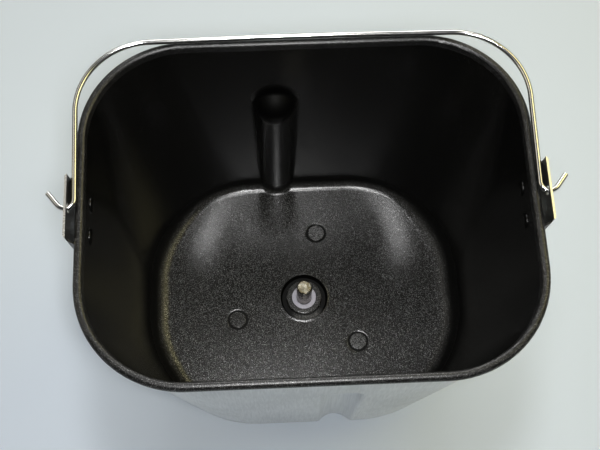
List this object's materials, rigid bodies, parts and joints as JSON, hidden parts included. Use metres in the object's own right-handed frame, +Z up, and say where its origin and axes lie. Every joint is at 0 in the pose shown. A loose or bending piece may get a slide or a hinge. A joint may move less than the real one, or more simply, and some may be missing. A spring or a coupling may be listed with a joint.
{
  "type": "bread pan",
  "caption": "Lift-out bread machine pan: tapered non-stick tub with rolled rim, pressed dough ribs, sealed paddle shaft, cast base collar with bayonet lugs and a swinging wire bail.",
  "frame": {"origin": "on the drive shaft's axis, at the surface that the base collar stands on", "axes": "+Z up along the drive shaft, +X to the right along the pan's long side, +Y to the back, where the bail lies"},
  "size_m": [0.2242, 0.1613, 0.1683],
  "materials": {
    "coated_pan": "non-stick coating inside, satin aluminium outside",
    "cast_base": "die-cast, satin",
    "coated_fittings": "non-stick coating",
    "seal_rubber": "matt moulded rubber",
    "spring_steel": "hardened spring steel",
    "bush_bronze": "sintered bearing bronze",
    "pale_washer": "pale low-friction washer",
    "shaft_steel": "turned stainless steel",
    "bracket_steel": "pressed bright steel",
    "bail_chrome": "polished plated wire"
  },
  "bodies": {
    "pan": {"pan_shell": "coated_pan", "base_collar": "cast_base", "base_rivets": "coated_fittings", "bearing_housing": "coated_fittings", "housing_gasket": "seal_rubber", "housing_retaining_ring": "spring_steel", "lower_bush": "bush_bronze", "upper_bush": "bush_bronze", "shaft_seal": "seal_rubber", "seal_garter_spring": "spring_steel", "seal_washer": "pale_washer", "upper_thrust_washer": "pale_washer", "lower_thrust_washer": "pale_washer", "left_bracket": "bracket_steel", "right_bracket": "bracket_steel", "left_bracket_rivets": "coated_fittings", "right_bracket_rivets": "coated_fittings"},
    "drive": {"drive_shaft": "shaft_steel", "shaft_snap_ring": "spring_steel", "drive_coupling": "cast_base", "coupling_pin": "shaft_steel"},
    "bail": {"bail_handle": "bail_chrome"}
  },
  "joints": [
    {"name": "bail_swing", "type": "hinge", "parent": "pan", "child": "bail", "pos_m": [0, 0, 0.165], "axis": [1, 0, 0], "range_deg": [0, 180]},
    {"name": "shaft_spin", "type": "hinge", "parent": "pan", "child": "drive", "pos_m": [0, 0, 0], "axis": [0, 0, 1], "continuous": true}
  ]
}
